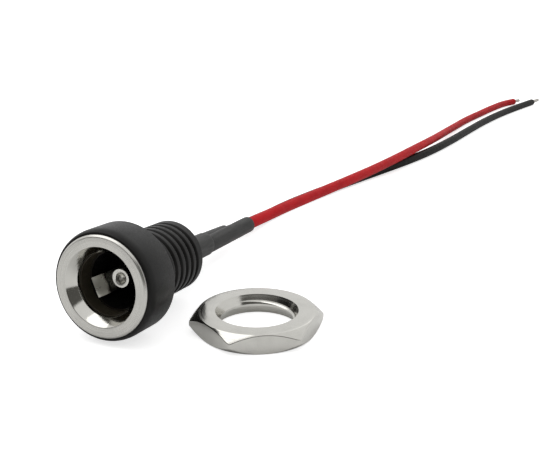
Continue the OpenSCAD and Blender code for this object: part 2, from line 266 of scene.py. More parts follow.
def turned(bm, outline, steps=ROUND_STEPS, closed=True):
    """Spins an outline of (radius, depth) points, in millimetres, round the Y axis."""
    verts = [bm.verts.new((radius * MM, depth * MM, 0)) for radius, depth in outline]
    edges = [bm.edges.new(pair) for pair in zip(verts, verts[1:])]
    if closed:
        edges.append(bm.edges.new((verts[-1], verts[0])))
    bmesh.ops.spin(
        bm, geom=verts + edges, cent=(0, 0, 0), axis=(0, 1, 0), dvec=(0, 0, 0),
        angle=math.tau, steps=steps, use_merge=True, use_normal_flip=False, use_duplicate=False)
    bmesh.ops.remove_doubles(bm, verts=bm.verts, dist=SAME_PLACE)


def wound(bm, outline, pitch, turns, steps=ROUND_STEPS):
    """Winds an outline that is one pitch long round the Y axis, as a right-handed screw."""
    verts = [bm.verts.new((radius * MM, depth * MM, 0)) for radius, depth in outline]
    edges = [bm.edges.new(pair) for pair in zip(verts, verts[1:])]
    bmesh.ops.spin(
        bm, geom=verts + edges, cent=(0, 0, 0), axis=(0, 1, 0), dvec=(0, pitch * MM / steps, 0),
        angle=math.tau * turns, steps=steps * turns, use_merge=False, use_normal_flip=False,
        use_duplicate=False)
    bmesh.ops.remove_doubles(bm, verts=bm.verts, dist=SAME_PLACE)


def cut_across(bm, depth, keep_front):
    """Cuts the mesh square to the Y axis and keeps what lies before or behind the cut."""
    bmesh.ops.bisect_plane(
        bm, geom=bm.verts[:] + bm.edges[:] + bm.faces[:], dist=SAME_PLACE,
        plane_co=(0, depth * MM, 0), plane_no=(0, 1 if keep_front else -1, 0),
        clear_outer=True, clear_inner=False)


def rim_at(bm, depth, low=0.0, high=100.0):
    """The open edges that lie at one depth, between two radii, in millimetres."""
    found = []
    for edge in bm.edges:
        if not edge.is_boundary:
            continue
        ends = [(math.hypot(v.co.x, v.co.z) / MM, v.co.y / MM) for v in edge.verts]
        if all(abs(y - depth) < SAME_DEPTH and low <= radius <= high for radius, y in ends):
            found.append(edge)
    return found


def corners_of(result):
    """The vertices among the geometry that a mesh operator returns."""
    return [item for item in result["geom"] if isinstance(item, bmesh.types.BMVert)]


def joined(bm, other):
    """Adds one bmesh to another and frees the other."""
    mesh = bpy.data.meshes.new("part")
    other.to_mesh(mesh)
    other.free()
    bm.from_mesh(mesh)
    bpy.data.meshes.remove(mesh)


def filled_between(bm, inner, outer):
    """Fills the flat ring between two rims; the fill fails on a tiny mesh, so it grows first."""
    bm.transform(Matrix.Scale(1 / MM, 4))
    filled = bmesh.ops.triangle_fill(bm, edges=inner + outer, use_beauty=True)
    area = sum(item.calc_area() for item in filled["geom"] if isinstance(item, bmesh.types.BMFace))
    bm.transform(Matrix.Scale(MM, 4))
    print(f"flat ring filled: {area:.2f} square millimetres")


def broken_edges(bm, width, over=35, segments=2):
    """Bevels every edge that turns by more than an angle."""
    sharp = [e for e in bm.edges if e.is_manifold and e.calc_face_angle() > math.radians(over)]
    bmesh.ops.bevel(bm, geom=sharp, offset=width * MM, offset_type="OFFSET", affect="EDGES",
                    segments=segments, profile=0.5, material=-1, clamp_overlap=True)


def outward(bm):
    """Turns every face outwards; a closed skin that is inside out has a negative volume."""
    bmesh.ops.recalc_face_normals(bm, faces=bm.faces)
    if bm.calc_volume(signed=True) < 0:
        bmesh.ops.reverse_faces(bm, faces=bm.faces)


def finished(name, bm, finish, nodes, place=JACK, angle=38):
    """Turns a bmesh into a piece: placed, smooth, with its finish, riding on the set."""
    bm.transform(place)
    bmesh.ops.remove_doubles(bm, verts=bm.verts, dist=SAME_PLACE)
    outward(bm)
    open_edges = sum(edge.is_boundary for edge in bm.edges)
    mesh = bpy.data.meshes.new(name)
    bm.to_mesh(mesh)
    bm.free()
    mesh.polygons.foreach_set("use_smooth", [True] * len(mesh.polygons))
    mesh.set_sharp_from_angle(angle=math.radians(angle))
    mesh.materials.append(finish)
    piece = bpy.data.objects.new(name, mesh)
    scene.collection.objects.link(piece)
    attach(piece, "root")
    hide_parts(*nodes)
    print(f"{name}: {len(mesh.polygons)} faces, {open_edges} open edges")
    return piece


# %% [markdown]
# ## The two wires
#
# Each wire is stranded copper in soft insulation, 1.5 mm thick. A wire could be a mesh swept ring
# by ring, but a Bezier curve with a round bevel is the shorter way: twenty points chosen along
# the wire, automatic handles, and Blender makes the tube. The points are the ones that the solids
# follow. They are measured on the floor from the point below the middle of the ring's face.

# %% The wires' finishes
WIRE_R = 0.75


def pvc(name, dark, light, roughness):
    """Extruded soft insulation: even colour, satin, with a slow waviness of its surface."""
    made = Finish(name, light, roughness=roughness, Specular_IOR_Level=0.07)
    where = made.coordinates()
    made.tint(made.cloud(where, 0.35, detail=2), dark, light)
    made.rough(made.cloud(where, 2.2, detail=4), roughness - 0.05, roughness + 0.07)
    made.bump(made.cloud(where, 0.9, detail=2), 0.05)
    made.bump(made.cloud(where, 14, detail=3), 0.004)
    return made.material


red_pvc = pvc("red_insulation", (0.46, 0.006, 0.011), (0.56, 0.010, 0.015), 0.45)
black_pvc = pvc("black_insulation", (0.007, 0.007, 0.0065), (0.013, 0.012, 0.0115), 0.42)

# %% The wires
FLOOR_START = Vector((face_centre.x, face_centre.y, 0))
RED_ROUTE = [
    (0.4, 20, 3.7), (0.9, 25, 3.7), (1.4, 30, 3.7), (1.9, 35, 3.55), (2.4, 41, 3.3),
    (3.1, 47, 3.05), (4, 54, 2.8), (5, 61.5, 2.6), (6, 69, 2.45), (7, 77.5, 2.35),
    (7.9, 86, 2.3), (8.5, 94, 2.1), (8.7, 102, 1.7), (8.6, 110, 1.2), (8.8, 118.5, 0.85),
    (9.4, 127, 0.75), (10.6, 135.5, 0.75), (12.2, 146, 0.75), (13.6, 152.5, 0.75),
    (15.2, 156.5, 0.75)]
BLACK_ROUTE = [
    (-2.25, 20, 3.1), (-2.07, 25, 2.625), (-1.9, 30, 2.15), (-1.85, 33.5, 1.8), (-1.85, 37, 1.4),
    (-1.9, 40.5, 1.05), (-1.75, 44, 0.8), (-1.25, 48.5, 0.75), (-0.3, 53.5, 0.75), (1.2, 60, 0.75),
    (3, 67, 0.75), (5.2, 75, 0.75), (7.6, 84, 0.75), (9.5, 93, 0.75), (10.9, 103, 0.75),
    (12.1, 115, 0.75), (13.4, 127, 0.75), (15.2, 138.5, 0.75), (17.1, 147.5, 0.75),
    (19.5, 157.5, 0.75)]
MOUTH = 2


def on_floor(point):
    """A place in the scene from a point in millimetres, measured on the floor."""
    return FLOOR_START + Vector(point) * MM


def wire(name, node, route, finish):
    """A round wire along a route, as a Bezier curve with a bevel."""
    curve = bpy.data.curves.new(name, "CURVE")
    curve.dimensions = "3D"
    curve.resolution_u = 6
    curve.bevel_depth = WIRE_R * MM
    curve.bevel_resolution = 6
    curve.use_fill_caps = True
    spline = curve.splines.new("BEZIER")
    spline.bezier_points.add(len(route) - 1)
    for place, point in zip(spline.bezier_points, route):
        place.co = on_floor(point)
        place.handle_left_type = "AUTO"
        place.handle_right_type = "AUTO"
    curve.materials.append(finish)
    piece = bpy.data.objects.new(name, curve)
    scene.collection.objects.link(piece)
    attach(piece, "root")
    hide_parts(node)
    print(f"{name}: {spline.calc_length() / MM:.1f} mm long")
    return piece, spline.calc_length()


red_wire, red_length = wire("wire_red", "red_wire", RED_ROUTE, red_pvc)
black_wire, black_length = wire("wire_black", "black_wire", BLACK_ROUTE, black_pvc)

# %% [markdown]
# ## Bare wire ends
#
# The last few millimetres are stripped. Seven tinned strands show: one in the middle and six
# wound round it. Each is a small circle swept by the spin operator with a step along the axis,
# which is just what a twist is.

# %% The tinned strands
STRAND_BUNDLE_R = 0.4
STRAND_R = STRAND_BUNDLE_R / 3
STRAND_TWIST = 7.0
INTO_WIRE = 0.4


def tinned(name, dark, light, roughness):
    """Tin that has run over the metal: bright, uneven, with small grains."""
    made = Finish(name, light, metallic=1, roughness=roughness)
    where = made.coordinates()
    made.tint(made.cloud(where, 3.0, detail=5), dark, light)
    made.rough(made.cloud(where, 6.0, detail=4), roughness - 0.08, roughness + 0.12)
    made.bump(made.cloud(where, 9.0, detail=4), 0.012)
    return made.material


strand_tin = tinned("tinned_strands", (0.46, 0.44, 0.41), (0.66, 0.64, 0.60), 0.34)


def facing(start, toward):
    """A frame at start whose Y axis points toward another point."""
    y = (toward - start).normalized()
    x = y.cross(Vector((0, 0, 1))).normalized()
    z = x.cross(y)
    return Matrix.Translation(start) @ Matrix((x, y, z)).transposed().to_4x4()


def strands(name, node, route, length):
    """Twisted strands that stand out of a wire's end."""
    bm = bmesh.new()
    steps = 28
    turn = math.tau * length / STRAND_TWIST
    for index in range(7):
        angle = math.tau * index / 6
        centre = Vector((0, 0, 0))
        if index < 6:
            centre = Vector((math.cos(angle), 0, math.sin(angle))) * 2 * STRAND_R * MM
        place = Matrix.Translation(centre) @ Matrix.Rotation(math.radians(90), 4, "X")
        disc = bmesh.ops.create_circle(bm, cap_ends=True, segments=10, radius=STRAND_R * MM,
                                       matrix=place)
        faces = list({face for vert in disc["verts"] for face in vert.link_faces})
        bmesh.ops.spin(
            bm, geom=faces, cent=(0, 0, 0), axis=(0, 1, 0), dvec=(0, length * MM / steps, 0),
            angle=turn, steps=steps, use_merge=False, use_normal_flip=False, use_duplicate=False)
    end = on_floor(route[-1])
    before = on_floor(route[-2])
    place = facing(end, end + (end - before)) @ Matrix.Translation((0, -INTO_WIRE * MM, 0))
    return finished(name, bm, strand_tin, [node], place, angle=50)


RED_BARE = 2.6
BLACK_BARE = 4.2
red_strands = strands("strands_red", "red_wire_end", RED_ROUTE, RED_BARE + INTO_WIRE)
black_strands = strands("strands_black", "black_wire_end", BLACK_ROUTE, BLACK_BARE + INTO_WIRE)

# %% [markdown]
# ## Shrink sleeves
#
# A sleeve is thin tube that was shrunk with hot air over the joint. It is a turned shell with
# eased rims, and its radius then wavers a little, because shrunk tube never comes out quite
# round. The red wire has two layers: a narrow sleeve on the wire, and a wide one over it that
# covers the lug.

# %% The sleeves' finish
def shrink_tube(name):
    """Matt shrink tube: dark grey, drawn out lengthwise, slightly chalky."""
    made = Finish(name, (0.036, 0.036, 0.035), roughness=0.45, Specular_IOR_Level=0.4)
    where = made.coordinates(JACK)
    drawn = made.stretched(where, (1, 0.15, 1))
    made.tint(made.cloud(drawn, 1.8, detail=4), (0.016, 0.016, 0.0152), (0.030, 0.030, 0.0285))
    made.rough(made.cloud(drawn, 3.0, detail=4), 0.38, 0.55)
    made.bump(made.cloud(drawn, 2.6, detail=3), 0.03)
    made.bump(made.cloud(where, 16, detail=3), 0.008)
    return made.material


shrink = shrink_tube("shrink_tube")

# %% The sleeves
WAVER = 0.012
WAVER_SCALE = 900
SLEEVE_STEPS = 48
WIRE_GAP = 0.01
RIM_EASE = 0.12
SLEEVE_R = 1.0
BOOT_R = 1.375
BOOT_WALL = 0.2
BOOT_ROUND = 0.22
BOOT_FROM = 15.0
BOOT_TO = 20.4
BOOT_ASIDE = Vector((0.4, 0, -0.25))
NECK_SHORT = 0.3


def wavered(bm):
    """Lets a shell's radius waver slowly along and round the Y axis."""
    for vert in bm.verts:
        shift = 1 + WAVER * noise.noise(vert.co * WAVER_SCALE)
        vert.co.x *= shift
        vert.co.z *= shift


def tube_shell(bm, outer, inner, length):
    """A tube along the Y axis with eased rims."""
    rows = [length * step / 12 for step in range(13)]
    outline = [(inner, 0), (outer, 0)]
    outline += [(outer, row) for row in rows[1:-1]]
    outline += [(outer, length), (inner, length)]
    turned(bm, eased(outline, RIM_EASE), steps=SLEEVE_STEPS)


def boot_outlines():
    """Outside and inside of the wide sleeve: open over the lug, closed and rounded at its end."""
    rim_middle = BOOT_R - BOOT_WALL / 2
    rim = [(rim_middle, BOOT_FROM), (BOOT_R - 0.04, BOOT_FROM + 0.02), (BOOT_R, BOOT_FROM + 0.09)]
    wall_length = BOOT_TO - BOOT_ROUND - BOOT_FROM
    wall = [(BOOT_R, BOOT_FROM + wall_length * row / 8) for row in range(1, 9)]
    end = [(BOOT_R - BOOT_ROUND * (1 - math.cos(math.radians(angle))),
            BOOT_TO - BOOT_ROUND * (1 - math.sin(math.radians(angle))))
           for angle in range(18, 91, 18)]
    inside_r = BOOT_R - BOOT_WALL
    inside = [(0, BOOT_TO - BOOT_WALL), (inside_r, BOOT_TO - BOOT_WALL), (inside_r, BOOT_FROM),
              (rim_middle, BOOT_FROM)]
    return rim + wall + end + [(0, BOOT_TO)], inside


bm = bmesh.new()
for outline in boot_outlines():
    turned(bm, outline, steps=SLEEVE_STEPS, closed=False)
wavered(bm)
bm.transform(Matrix.Translation(BOOT_ASIDE * MM))
bm.transform(JACK)
red_mouth = on_floor(RED_ROUTE[MOUTH])
red_inside = on_floor(RED_ROUTE[0])
neck = bmesh.new()
neck_length = (red_mouth - red_inside).length / MM
tube_shell(neck, SLEEVE_R, WIRE_R + WIRE_GAP, neck_length - NECK_SHORT)
wavered(neck)
neck.transform(facing(red_mouth, red_inside))
joined(bm, neck)
red_sleeve = finished("sleeve_red", bm, shrink, ["red_sleeve"], Matrix.Identity(4))

# %% The black wire's sleeve
TAB_SLEEVE_R = 1.1
TAB_SLEEVE_LEN = 15.8
TAB_SLEEVE_WIDE = 6.4
SLEEVE_FLARE = 0.5
TUBE_WALL = 0.2
black_mouth = on_floor(BLACK_ROUTE[MOUTH])
black_inside = on_floor(BLACK_ROUTE[0])
step_at = TAB_SLEEVE_LEN - TAB_SLEEVE_WIDE
outer = [(SLEEVE_R, step_at * part / 8) for part in range(9)]
outer += [(TAB_SLEEVE_R, step_at + SLEEVE_FLARE + (TAB_SLEEVE_WIDE - SLEEVE_FLARE) * part / 6)
          for part in range(7)]
inner = [(TAB_SLEEVE_R - TUBE_WALL, TAB_SLEEVE_LEN), (TAB_SLEEVE_R - TUBE_WALL, step_at + 0.6),
         (WIRE_R + WIRE_GAP, step_at + 0.2), (WIRE_R + WIRE_GAP, 0)]
bm = bmesh.new()
turned(bm, eased(outer + inner, RIM_EASE), steps=SLEEVE_STEPS)
wavered(bm)
black_sleeve = finished("sleeve_black", bm, shrink, ["black_sleeve"],
                        facing(black_mouth, black_inside))

# %% [markdown]
# ## The moulded housing
#
# Head, barrel and socket are one black moulding with a coarse thread on the barrel. The body is a
# turned outline. The thread isn't turned: it is wound, one pitch of outline swept with a step
# along the axis. Its groove then runs out at both ends, and the wound part is cut square and
# joined to the turned one by two flat rings, so the whole housing is one closed skin. Bridging
# would be the usual way to join two rims, but between rims in one plane it can pick the wrong way
# round, so each ring is filled with triangles instead.

# %% The housing's finish
# Where the painted sheen lies in the mouth: radii and depths, in millimetres.
SHEEN_R = (3.2, 3.3)
SHEEN_DEPTH = (2.86, 2.92)


def moulding():
    """Satin black moulding with the mould's faint texture, and painted sheen: a lighter brown band
    in the mouth.
    """
    made = Finish("black_moulding", (0.010, 0.010, 0.010), roughness=0.38, Specular_IOR_Level=0.19)
    where = made.coordinates(JACK)
    radius = made.from_axis(where)
    made.tint(made.cloud(where, 0.8, detail=5), (0.007, 0.007, 0.0066), (0.011, 0.0106, 0.0098))
    skin = made.shader.inputs["Base Color"].links[0].from_socket
    # Painted sheen: near the axis and ahead of the bore, the mouth's wall is painted a lighter
    # brown for the light that it catches.
    inside = made.between(radius, 1, 0, *SHEEN_R)
    ahead = made.between(made.along_axis(where), 1, 0, *SHEEN_DEPTH)
    sheen_band = made.add("ShaderNodeMath", operation="MULTIPLY")
    made.join(inside, sheen_band.inputs[0])
    made.join(ahead, sheen_band.inputs[1])
    painted_sheen = made.add("ShaderNodeMix", data_type="RGBA")
    made.join(sheen_band.outputs["Value"], painted_sheen.inputs["Factor"])
    made.join(skin, painted_sheen.inputs["A"])
    painted_sheen.inputs["B"].default_value = (0.045, 0.038, 0.026, 1)
    made.join(painted_sheen.outputs["Result"], made.shader.inputs["Base Color"])
    made.rough(made.cloud(where, 5.0, detail=4), 0.32, 0.44)
    made.bump(made.cloud(where, 22, detail=2), 0.006)
    made.bump(made.lines(radius, 9, detail=3), 0.004)
    return made.material


black_moulding = moulding()

# %% The housing
PITCH = 1.1
GROOVE_W = 0.54
GROOVE_FLOOR = 0.14
THREAD_DEPTH = 0.4
THREAD_TURNS = 7
SPARE_TURNS = 5
COLLAR = 0.95
CREST_R = mounts["panel_barrel"]["dims"]["r_mm"]
ROOT_R = CREST_R - THREAD_DEPTH
HEAD_R, HEAD_FRONT, BARREL_END = reach("housing")
RING_R, _, RING_LEN = reach("metal_ring")
CARRIER_R, SOCKET_FLOOR, CARRIER_END = reach("contact_carrier")
HEAD_LEN = (Vector(mounts["panel_seat"]["pos_m"]) - face_centre).dot(back) / MM
MOUTH_R = opening["dims"]["r_mm"]
MOUTH_END = RING_LEN + opening["dims"]["length_mm"]
BORE_R = MOUTH_R - 0.2
BARREL_BREAK = 0.15
HEAD_BREAK = 0.12
RIM = 0.07
SHOULDER_LEN = 1.0
RUN_OUT = math.radians(80)
PRESS_GAP = 0.01
RIPPLES = 7
RIPPLE_FIRST = 0.12
RIPPLE_HALF = 0.06
RIPPLE_DEPTH = 0.018
print(f"head radius {HEAD_R:.2f}, length {HEAD_LEN:.2f}, barrel end {BARREL_END:.2f} mm")


def helix_outline(crest_r, root_r, sign=1):
    """One pitch of the thread, from the middle of one crest to the middle of the next."""
    ease = 0.05
    half_top = GROOVE_W / 2
    half_floor = GROOVE_FLOOR / 2
    corner = sign * ease * 0.5
    side = [(root_r, 0), (root_r, half_floor), (root_r + corner, half_floor + ease * 0.4),
            (crest_r - corner, half_top - ease * 0.4),
            (crest_r - corner * 0.15, half_top + ease * 0.4),
            (crest_r, half_top + ease), (crest_r, PITCH / 2)]
    return [(radius, -depth) for radius, depth in reversed(side[1:])] + side


def run_out(bm, flat_r, first_groove, last_turn):
    """Lets a groove fade into the plain wall at both ends of the thread."""
    for vert in bm.verts:
        radius = math.hypot(vert.co.x, vert.co.z) / MM
        angle = math.atan2(-vert.co.z, vert.co.x) % math.tau
        turn = (vert.co.y / MM - first_groove) / PITCH - angle / math.tau
        wound_angle = angle + math.tau * round(turn)
        fade = min(wound_angle, last_turn - wound_angle) / RUN_OUT
        fade = min(max(fade, 0), 1)
        fade = fade * fade * (3 - 2 * fade)
        scale = (flat_r + (radius - flat_r) * fade) / radius
        vert.co.x *= scale
        vert.co.z *= scale


def body_outline():
    """The housing without its thread: the head from its rear face on, the inside, the end."""
    pocket_r = RING_R + PRESS_GAP
    carrier_r = CARRIER_R + PRESS_GAP
    front_r = pocket_r + RIM
    rounding = HEAD_R - front_r
    shoulder = [(front_r + rounding * math.sin(math.radians(angle)),
                 HEAD_FRONT + SHOULDER_LEN * (1 - math.cos(math.radians(angle))))
                for angle in range(90, -1, -9)]
    ripples = []
    for row in range(RIPPLES):
        span = MOUTH_END - RING_LEN - 2 * RIPPLE_FIRST
        depth = RING_LEN + RIPPLE_FIRST + row * span / (RIPPLES - 1)
        ripples += [(MOUTH_R, depth - RIPPLE_HALF), (MOUTH_R - RIPPLE_DEPTH, depth),
                    (MOUTH_R, depth + RIPPLE_HALF)]
    return ([(CREST_R + 0.45, HEAD_LEN), (HEAD_R - HEAD_BREAK, HEAD_LEN),
             (HEAD_R - HEAD_BREAK * 0.3, HEAD_LEN - HEAD_BREAK * 0.3),
             (HEAD_R, HEAD_LEN - HEAD_BREAK)] + shoulder
            + [(pocket_r, HEAD_FRONT), (pocket_r, RING_LEN), (MOUTH_R, RING_LEN)] + ripples
            + [(MOUTH_R, MOUTH_END), (BORE_R, MOUTH_END), (BORE_R, SOCKET_FLOOR),
               (carrier_r, SOCKET_FLOOR), (carrier_r, BARREL_END - 0.08),
               (CARRIER_R + 0.09, BARREL_END), (CARRIER_R + 0.3, BARREL_END)])


THREAD_END = BARREL_END - COLLAR
VIEWED_SIDE = math.radians(20)
LAST_TURN = math.tau * (THREAD_TURNS - 1) + VIEWED_SIDE + math.pi
FIRST_GROOVE = (THREAD_END - GROOVE_W / 2 - (THREAD_TURNS - 1) * PITCH
                - PITCH * VIEWED_SIDE / math.tau)
bm = bmesh.new()
wound(bm, [(r, d + FIRST_GROOVE - 2 * PITCH) for r, d in helix_outline(CREST_R, ROOT_R)],
      PITCH, THREAD_TURNS + SPARE_TURNS)
run_out(bm, CREST_R, FIRST_GROOVE, LAST_TURN)
cut_across(bm, BARREL_END - BARREL_BREAK, keep_front=True)
cut_across(bm, HEAD_LEN, keep_front=False)
collar = bmesh.ops.extrude_edge_only(bm, edges=rim_at(bm, BARREL_END - BARREL_BREAK))
for vert in corners_of(collar):
    vert.co.x *= 1 - BARREL_BREAK / CREST_R
    vert.co.z *= 1 - BARREL_BREAK / CREST_R
    vert.co.y = BARREL_END * MM
turned(bm, body_outline(), closed=False)
filled_between(bm, rim_at(bm, HEAD_LEN, 0, CREST_R + 0.05), rim_at(bm, HEAD_LEN, CREST_R + 0.4))
filled_between(bm, rim_at(bm, BARREL_END, 0, CARRIER_R + 0.35),
               rim_at(bm, BARREL_END, CREST_R - 0.2))
print("open edges left on the housing:", sum(edge.is_boundary for edge in bm.edges))
housing = finished("moulded_body", bm, black_moulding, ["housing"])

# %% [markdown]
# ## A slot cut by a boolean
#
# The spring's blade lies in a slot in the bore's wall. A turned outline can't hold a slot on one
# side only, so a box is cut out of the finished housing by an exact boolean. That needs both
# meshes closed and facing outwards. The modifier's result is stored as the piece's own mesh, and
# the cutter is removed, so nothing is left to be worked out later.

# %% The slot for the spring
LEAF_ANGLE = math.radians(205)
LEAF_PLACE = JACK @ Matrix.Rotation(-LEAF_ANGLE, 4, "Y")
SLOT = ((0, 3.06), (2.9, SOCKET_FLOOR), (-1.11, 1.11))


def box_between(spans):
    """A box from its lowest and highest x, y and z in millimetres."""
    bm = bmesh.new()
    middle = Vector([(low + high) / 2 for low, high in spans]) * MM
    size = Matrix.Diagonal([(high - low) * MM for low, high in spans]).to_4x4()
    bmesh.ops.create_cube(bm, size=1, matrix=Matrix.Translation(middle) @ size)
    return bm


def carved(piece, bm, place):
    """Cuts a shape out of a finished piece and leaves no modifier behind."""
    bm.transform(place)
    bmesh.ops.remove_doubles(bm, verts=bm.verts, dist=SAME_PLACE)
    outward(bm)
    mesh = bpy.data.meshes.new("cutter")
    bm.to_mesh(mesh)
    bm.free()
    cutter = bpy.data.objects.new("cutter", mesh)
    scene.collection.objects.link(cutter)
    cut = piece.modifiers.new("cut", "BOOLEAN")
    cut.operation = "DIFFERENCE"
    cut.solver = "EXACT"
    cut.object = cutter
    seen = piece.evaluated_get(bpy.context.evaluated_depsgraph_get())
    result = bpy.data.meshes.new_from_object(seen)
    piece.modifiers.clear()
    old = piece.data
    piece.data = result
    bpy.data.meshes.remove(old)
    bpy.data.objects.remove(cutter)
    bpy.data.meshes.remove(mesh)
    result.name = piece.name
    check = bmesh.new()
    check.from_mesh(result)
    print(f"{piece.name}: {len(result.polygons)} faces after the cut,",
          sum(edge.is_boundary for edge in check.edges), "open edges")
    check.free()


carved(housing, box_between(SLOT), LEAF_PLACE)

# %% [markdown]
# ## The plated ring
#
# A turned ring with a funnel that guides the plug. Its face was left satin by a coarse cut, and
# its funnel is nearly polished. The plating follows every turning line, so the lines are relief
# that only changes with the distance from the axis.

# %% Nickel on turned metal
NICKEL = (0.67, 0.66, 0.62)
FUNNEL_R = 4.0


def turned_nickel(name, matrix, line_height, roughness, color=NICKEL, grain=0.0015):
    """Nickel plate over turning lines round an axis."""
    made = Finish(name, color, metallic=1, roughness=roughness)
    where = made.coordinates(matrix)
    radius = made.from_axis(where)
    dark = tuple(value * 0.9 for value in color)
    made.tint(made.cloud(where, 0.5, detail=4), dark, color)
    made.rough(made.lines(radius, 6, detail=5), roughness - 0.06, roughness + 0.08)
    made.bump(made.lines(radius, 14, detail=5), line_height)
    made.bump(made.cloud(where, 20, detail=3), grain)
    return made.material


def ring_finish():
    """The ring's nickel: satin where the face was cut, nearly polished in the funnel."""
    made = Finish("ring_nickel", NICKEL, metallic=1, roughness=0.28)
    where = made.coordinates(JACK)
    radius = made.from_axis(where)
    made.tint(made.cloud(where, 0.5, detail=4), tuple(value * 0.92 for value in NICKEL), NICKEL)
    satin = made.between(made.lines(radius, 6, detail=5), 0.24, 0.34)
    polished = made.between(made.lines(radius, 6, detail=5), 0.07, 0.13)
    on_face = made.between(radius, 0, 1, FUNNEL_R - 0.02, FUNNEL_R + 0.04)
    mix = made.add("ShaderNodeMix", data_type="FLOAT")
    made.join(on_face, mix.inputs["Factor"])
    made.join(polished, mix.inputs["A"])
    made.join(satin, mix.inputs["B"])
    made.join(mix.outputs["Result"], made.shader.inputs["Roughness"])
    made.bump(made.lines(radius, 14, detail=5), 0.0025)
    made.bump(made.cloud(where, 20, detail=3), 0.001)
    return made.material


ring_nickel = ring_finish()

# %% The ring
RING_CHAMFER = 0.2
FUNNEL_DEPTH = 1.0
THROAT_R = MOUTH_R + 0.1
ring_outline = [(FUNNEL_R, 0), (RING_R - RING_CHAMFER, 0), (RING_R, RING_CHAMFER),
                (RING_R, RING_LEN), (THROAT_R, RING_LEN), (THROAT_R, FUNNEL_DEPTH)]
bm = bmesh.new()
turned(bm, eased(ring_outline, 0.05), steps=128)
finished("funnel_ring", bm, ring_nickel, ["metal_ring"], angle=20)

# %% [markdown]
# ## Pin, disc and contacts
#
# The centre pin is turned, with a dished tip. The spring is stamped from thin sheet. A solidify
# modifier could thicken a bent surface, but an outline of even thickness, drawn out to the
# strip's width, closes the skin at once and lets the edges be bevelled. The lug, the two beads of
# solder and the disc hardly show, so they keep their solids and only get a finish.

# %% The contacts' finishes
def sheet_plate(name, dark, light, roughness):
    """Plated sheet: even, with faint rolling lines and soft handling marks."""
    made = Finish(name, light, metallic=1, roughness=roughness)
    where = made.coordinates(JACK)
    made.tint(made.cloud(where, 1.2, detail=4), dark, light)
    made.rough(made.cloud(where, 2.5, detail=4), roughness - 0.05, roughness + 0.08)
    made.bump(made.cloud(made.stretched(where, (12, 0.6, 12)), 1.0, detail=2), 0.0004)
    return made.material


pin_plate = turned_nickel("pin_plate", JACK, 0.0008, 0.26, (0.80, 0.79, 0.74), grain=0.0003)
leaf_plate = sheet_plate("contact_plate", (0.66, 0.65, 0.58), (0.76, 0.75, 0.68), 0.30)
solder_metal = tinned("solder_metal", (0.48, 0.48, 0.48), (0.62, 0.62, 0.62), 0.32)


def carrier_plastic():
    """Matt black plastic of the disc that closes the bore."""
    made = Finish("carrier_plastic", (0.022, 0.022, 0.022), roughness=0.6)
    where = made.coordinates(JACK)
    made.tint(made.cloud(where, 2, detail=4), (0.017, 0.017, 0.017), (0.030, 0.030, 0.030))
    made.rough(made.cloud(where, 6), 0.5, 0.68)
    made.bump(made.cloud(where, 18), 0.008)
    return made.material


carrier_black = carrier_plastic()

# %% The centre pin
_, PIN_FRONT, PIN_END = reach("centre_pin")
PIN_R = mounts["plug_pin"]["dims"]["r_mm"]
PIN_ROUND = 0.08
DISH_R = 0.55
DISH_DEPTH = 0.5
FLANGE_R = PIN_R + 0.45
FLANGE_T = 0.5
SHANK_R = 0.8
RIVET_R = 0.55
RIVET_HEAD_R = 0.9
RIVET_HEAD_H = 0.3
tip = [(0, PIN_FRONT + DISH_DEPTH), (0.1, PIN_FRONT + DISH_DEPTH * 0.97),
       (0.2, PIN_FRONT + DISH_DEPTH * 0.84), (DISH_R - 0.04, PIN_FRONT + 0.1),
       (DISH_R - 0.01, PIN_FRONT + 0.03), (DISH_R + 0.03, PIN_FRONT)]
tip += [(PIN_R - PIN_ROUND * (1 - math.sin(math.radians(angle))),
         PIN_FRONT + PIN_ROUND * (1 - math.cos(math.radians(angle)))) for angle in range(0, 91, 15)]
stem = [(PIN_R, SOCKET_FLOOR - FLANGE_T), (FLANGE_R, SOCKET_FLOOR - FLANGE_T),
        (FLANGE_R, SOCKET_FLOOR), (SHANK_R, SOCKET_FLOOR), (SHANK_R, CARRIER_END),
        (RIVET_R, CARRIER_END), (RIVET_R, PIN_END - RIVET_HEAD_H),
        (RIVET_HEAD_R, PIN_END - RIVET_HEAD_H), (RIVET_HEAD_R, PIN_END - 0.1),
        (RIVET_HEAD_R * 0.75, PIN_END), (0.2, PIN_END), (0, PIN_END - 0.05)]
bm = bmesh.new()
turned(bm, tip + eased(stem, 0.03, closed=False), steps=64, closed=False)
finished("turned_pin", bm, pin_plate, ["centre_pin"])

# %% The stamped spring contact
LEAF_T = 0.2
LEAF_W = 2.1
CREST_AT = (2.0, 3.95)
LEAF_R = 2.9
TIP_DEPTH = CREST_AT[1] - 1
TAB_W = 1.2
TAB_END = reach("spring_contact")[-1]
leaf_line = [(LEAF_R, TIP_DEPTH), (LEAF_R - 0.12, TIP_DEPTH + 0.08),
             (CREST_AT[0] + 0.12, CREST_AT[1] - 0.16), (CREST_AT[0], CREST_AT[1] + 0.02),
             (CREST_AT[0] + 0.13, CREST_AT[1] + 0.2), (LEAF_R, SOCKET_FLOOR - 1.6),
             (LEAF_R, SOCKET_FLOOR)]
tab_line = [(LEAF_R, SOCKET_FLOOR - 0.2), (LEAF_R, TAB_END)]


